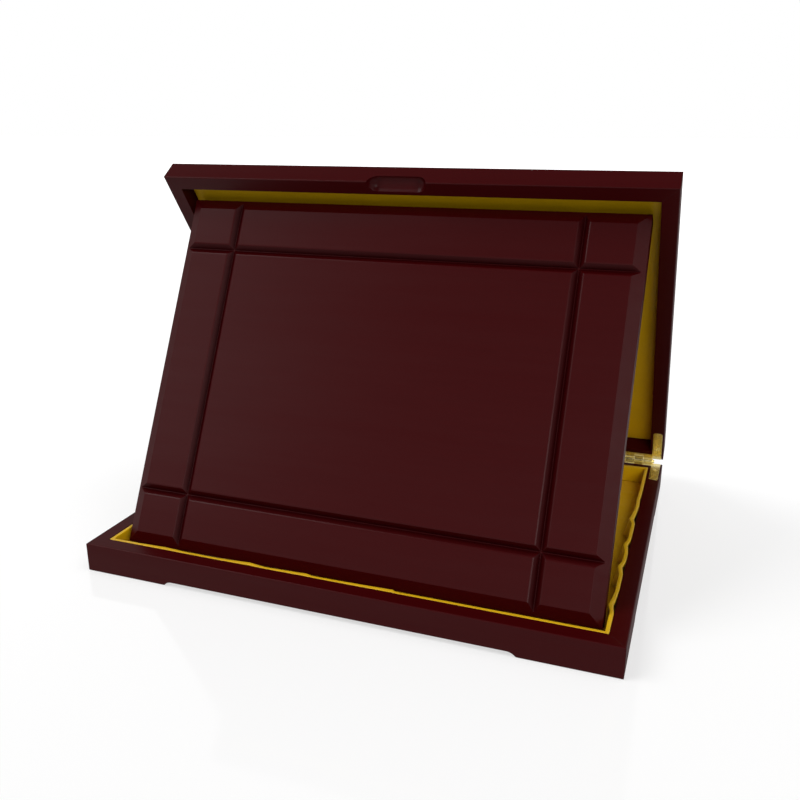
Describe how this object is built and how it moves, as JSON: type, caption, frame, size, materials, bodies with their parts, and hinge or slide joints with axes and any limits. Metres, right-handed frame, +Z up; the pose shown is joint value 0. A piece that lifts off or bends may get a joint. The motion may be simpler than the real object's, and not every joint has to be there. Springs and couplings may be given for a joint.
{
  "type": "plaque display case",
  "caption": "Shallow lacquered wooden case on corner hinges, standing open with its lid propped on a grooved, bevelled plaque; tray and lid lined in yellow satin.",
  "frame": {"origin": "on the table, under the middle of the open case's outline", "axes": "+X along the hinges to the right, +Y from the front to the hinges, +Z up"},
  "size_m": [0.3, 0.2494, 0.2215],
  "materials": {
    "lacquered_wood": "gloss lacquer over dark mahogany stain",
    "bare_board": "unfinished board",
    "yellow_satin": "satin weave",
    "polished_brass": "polished"
  },
  "bodies": {
    "base": {"base_front_rail": "lacquered_wood", "base_back_rail": "lacquered_wood", "base_left_rail": "lacquered_wood", "base_right_rail": "lacquered_wood", "base_bottom_panel": "bare_board", "base_corner_splines": "bare_board", "tray_floor_lining": "yellow_satin", "tray_front_lining": "yellow_satin", "tray_back_lining": "yellow_satin", "tray_left_lining": "yellow_satin", "tray_right_lining": "yellow_satin", "left_hinge_base_leaf": "polished_brass", "left_hinge_pin": "polished_brass", "right_hinge_base_leaf": "polished_brass", "right_hinge_pin": "polished_brass", "hinge_base_screws": "polished_brass"},
    "lid": {"lid_front_rail": "lacquered_wood", "lid_back_rail": "lacquered_wood", "lid_left_rail": "lacquered_wood", "lid_right_rail": "lacquered_wood", "lid_top_panel": "lacquered_wood", "lid_lining": "yellow_satin", "lid_corner_splines": "bare_board", "left_hinge_lid_leaf": "polished_brass", "right_hinge_lid_leaf": "polished_brass", "hinge_lid_screws": "polished_brass"},
    "plaque": {"plaque_board": "lacquered_wood"}
  },
  "joints": [
    {"name": "lid_hinge", "type": "hinge", "parent": "base", "child": "lid", "pos_m": [0, 0.11469, 0.0175], "axis": [-1, 0, 0], "range_deg": [0, 45]},
    {"name": "plaque_lift", "type": "slide", "parent": "base", "child": "plaque", "axis": [0, -0.8616, 0.5075], "range_m": [0, 0.25]}
  ]
}
